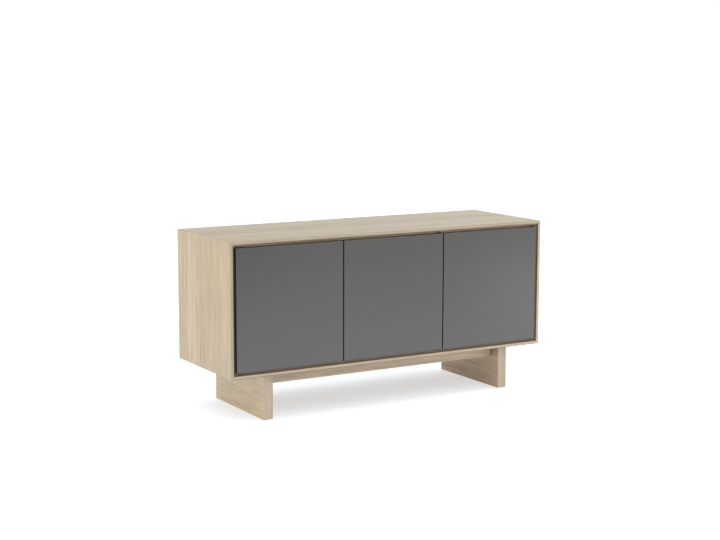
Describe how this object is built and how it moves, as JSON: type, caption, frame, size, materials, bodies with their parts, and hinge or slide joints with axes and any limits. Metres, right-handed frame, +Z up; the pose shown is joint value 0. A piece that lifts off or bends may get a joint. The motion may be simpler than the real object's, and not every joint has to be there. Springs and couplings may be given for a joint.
{
  "type": "console television cabinet",
  "caption": "Low media console: mitred oak case, flat satin grey doors set in a dark shadow gap, on panel legs joined by rails, with shelves behind the doors.",
  "frame": {"origin": "on the floor, at the middle of the cabinet's footprint", "axes": "+X to the right seen from the front, +Y to the back, +Z up; the doors face -Y"},
  "size_m": [1.65, 0.55, 0.805],
  "materials": {
    "oak_case": "satin lacquered light oak veneer",
    "oak_base": "satin lacquered light oak veneer",
    "dark_strip": "dark brown stain, matt",
    "oak_inside": "lacquered oak veneer inside",
    "hidden_wood": "plain plywood",
    "door_glass": "satin etched grey glass, painted on the back",
    "door_core": "black-faced board",
    "back_board": "dark melamine faced board",
    "dark_steel": "black satin",
    "steel": "zinc plated",
    "brass": "plain",
    "black_plastic": "moulded, fine texture",
    "white_plastic": "moulded acetal",
    "rubber": "soft"
  },
  "bodies": {
    "cabinet": {"top_panel": "oak_case", "bottom_panel": "oak_case", "left_side_panel": "oak_case", "right_side_panel": "oak_case", "corner_splines": "hidden_wood", "left_divider": "oak_inside", "right_divider": "oak_inside", "divider_grommets": "black_plastic", "panel_magnets": "steel", "top_reveal_strip": "dark_strip", "bottom_reveal_strip": "dark_strip", "left_reveal_strip": "dark_strip", "right_reveal_strip": "dark_strip", "pivot_screws": "dark_steel", "latch_screws": "steel", "door_stops": "dark_strip", "stop_bumpers": "rubber", "shelf_pins": "steel", "leg_bolts": "steel", "left_leg": "oak_base", "right_leg": "oak_base", "front_rail": "oak_base", "rear_rail": "oak_base", "rail_brackets": "dark_steel", "bracket_screws": "dark_steel", "foot_inserts": "brass", "left_door_pivots": "dark_steel", "middle_door_pivots": "dark_steel", "right_door_pivots": "dark_steel", "left_latch_body": "black_plastic", "middle_latch_body": "black_plastic", "right_latch_body": "black_plastic"},
    "left_door": {"left_door_glass": "door_glass", "left_door_core": "door_core", "left_door_bushes": "black_plastic", "left_door_strike": "steel"},
    "middle_door": {"middle_door_glass": "door_glass", "middle_door_core": "door_core", "middle_door_bushes": "black_plastic", "middle_door_strike": "steel"},
    "right_door": {"right_door_glass": "door_glass", "right_door_core": "door_core", "right_door_bushes": "black_plastic", "right_door_strike": "steel"},
    "left_latch_plunger": {"left_latch_plunger": "white_plastic"},
    "middle_latch_plunger": {"middle_latch_plunger": "white_plastic"},
    "right_latch_plunger": {"right_latch_plunger": "white_plastic"},
    "left_shelf": {"left_shelf": "oak_inside"},
    "middle_shelf": {"middle_shelf": "oak_inside"},
    "right_shelf": {"right_shelf": "oak_inside"},
    "left_back": {"left_back_panel": "back_board", "left_back_grommet": "black_plastic"},
    "middle_back": {"middle_back_panel": "back_board", "middle_back_grommet": "black_plastic"},
    "right_back": {"right_back_panel": "back_board", "right_back_grommet": "black_plastic"},
    "left_front_foot": {"left_front_foot": "black_plastic"},
    "left_rear_foot": {"left_rear_foot": "black_plastic"},
    "right_front_foot": {"right_front_foot": "black_plastic"},
    "right_rear_foot": {"right_rear_foot": "black_plastic"}
  },
  "joints": [
    {"name": "left_door_hinge", "type": "hinge", "parent": "cabinet", "child": "left_door", "pos_m": [-0.785, -0.268, 0.233], "axis": [0, 0, -1], "range_deg": [0, 110]},
    {"name": "middle_door_hinge", "type": "hinge", "parent": "cabinet", "child": "middle_door", "pos_m": [0.25167, -0.268, 0.233], "axis": [0, 0, 1], "range_deg": [0, 110]},
    {"name": "right_door_hinge", "type": "hinge", "parent": "cabinet", "child": "right_door", "pos_m": [0.785, -0.268, 0.233], "axis": [0, 0, 1], "range_deg": [0, 110]},
    {"name": "left_latch_push", "type": "slide", "parent": "cabinet", "child": "left_latch_plunger", "axis": [0, 1, 0], "range_m": [0, 0.004], "stiffness_N_per_m": 600},
    {"name": "middle_latch_push", "type": "slide", "parent": "cabinet", "child": "middle_latch_plunger", "axis": [0, 1, 0], "range_m": [0, 0.004], "stiffness_N_per_m": 600},
    {"name": "right_latch_push", "type": "slide", "parent": "cabinet", "child": "right_latch_plunger", "axis": [0, 1, 0], "range_m": [0, 0.004], "stiffness_N_per_m": 600},
    {"name": "left_shelf_lift", "type": "slide", "parent": "cabinet", "child": "left_shelf", "axis": [0, 0, 1], "range_m": [0, 0.03]},
    {"name": "middle_shelf_lift", "type": "slide", "parent": "cabinet", "child": "middle_shelf", "axis": [0, 0, 1], "range_m": [0, 0.03]},
    {"name": "right_shelf_lift", "type": "slide", "parent": "cabinet", "child": "right_shelf", "axis": [0, 0, 1], "range_m": [0, 0.03]},
    {"name": "left_back_pull", "type": "slide", "parent": "cabinet", "child": "left_back", "axis": [0, 1, 0], "range_m": [0, 0.06]},
    {"name": "middle_back_pull", "type": "slide", "parent": "cabinet", "child": "middle_back", "axis": [0, 1, 0], "range_m": [0, 0.06]},
    {"name": "right_back_pull", "type": "slide", "parent": "cabinet", "child": "right_back", "axis": [0, 1, 0], "range_m": [0, 0.06]},
    {"name": "left_front_foot_adjust", "type": "slide", "parent": "cabinet", "child": "left_front_foot", "axis": [0, 0, -1], "range_m": [0, 0.012]},
    {"name": "left_rear_foot_adjust", "type": "slide", "parent": "cabinet", "child": "left_rear_foot", "axis": [0, 0, -1], "range_m": [0, 0.012]},
    {"name": "right_front_foot_adjust", "type": "slide", "parent": "cabinet", "child": "right_front_foot", "axis": [0, 0, -1], "range_m": [0, 0.012]},
    {"name": "right_rear_foot_adjust", "type": "slide", "parent": "cabinet", "child": "right_rear_foot", "axis": [0, 0, -1], "range_m": [0, 0.012]}
  ]
}
